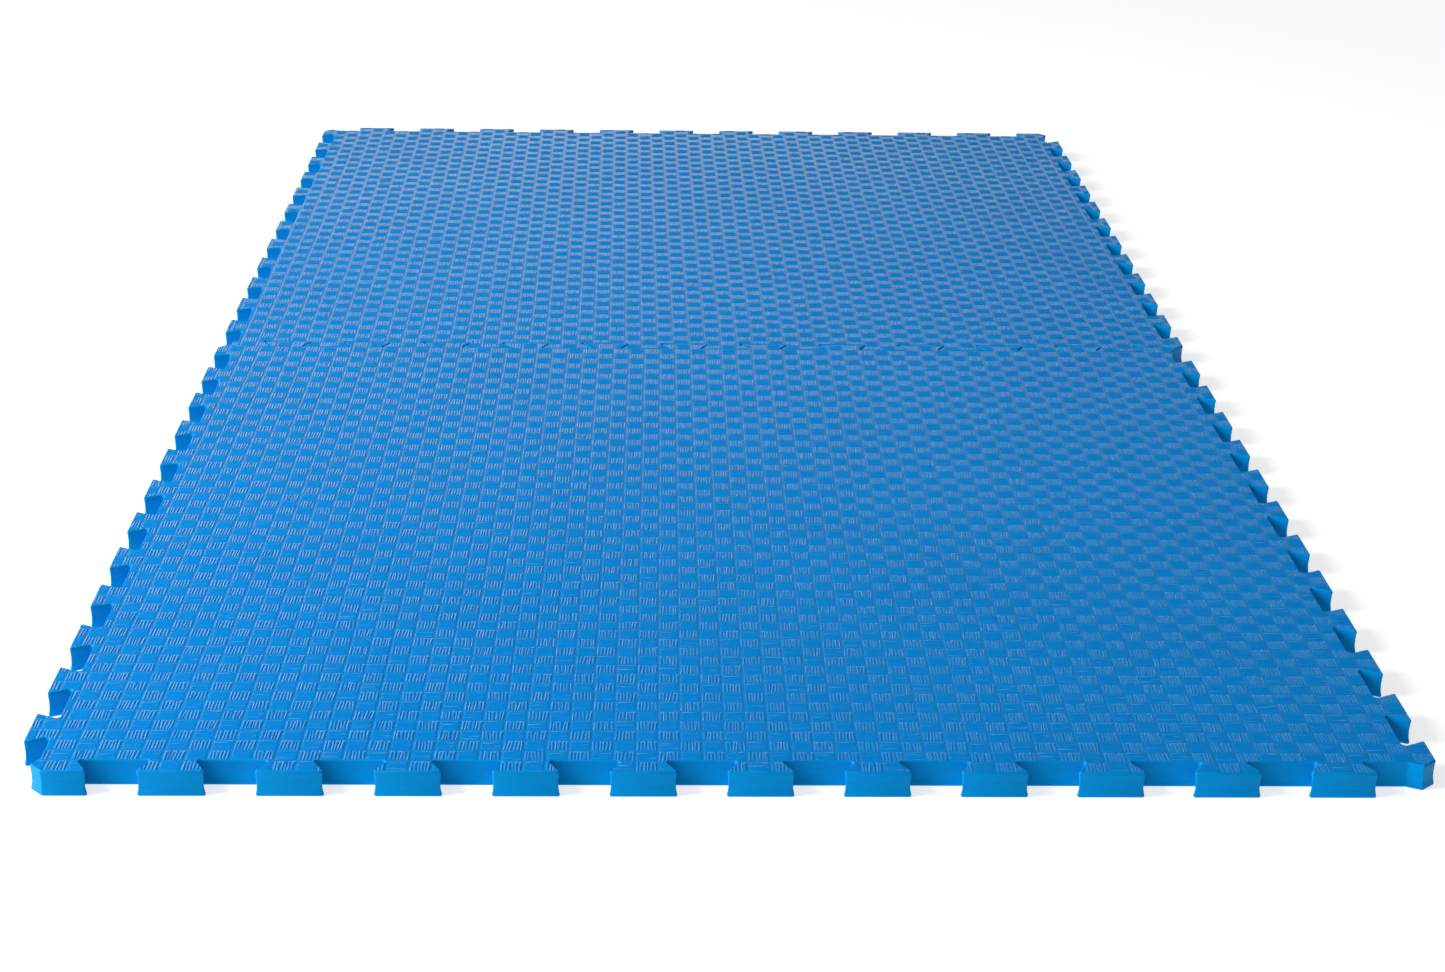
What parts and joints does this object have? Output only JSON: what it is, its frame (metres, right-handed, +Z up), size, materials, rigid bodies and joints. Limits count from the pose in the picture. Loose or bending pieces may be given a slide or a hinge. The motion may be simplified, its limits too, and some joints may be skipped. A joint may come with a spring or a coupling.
{
  "type": "interlocking foam mats",
  "caption": "Square foam mats with flared jigsaw teeth on all sides, joined edge to edge to make a flat padded surface.",
  "frame": {"origin": "middle of the underside, below the middle of the seam that joins the two mats", "axes": "+Y from the front mat to the rear mat, +X along the seam to the right, +Z up out of the top face"},
  "size_m": [1.0176, 2.0176, 0.02],
  "materials": {
    "foam": "matte, finely ribbed closed-cell foam with a low sheen"
  },
  "bodies": {
    "front_mat": {"front_mat": "foam"},
    "rear_mat": {"rear_mat": "foam"}
  },
  "joints": [
    {"name": "rear_mat_lift", "type": "slide", "parent": "front_mat", "child": "rear_mat", "axis": [0, 0, 1], "range_m": [0, 0.06]}
  ]
}
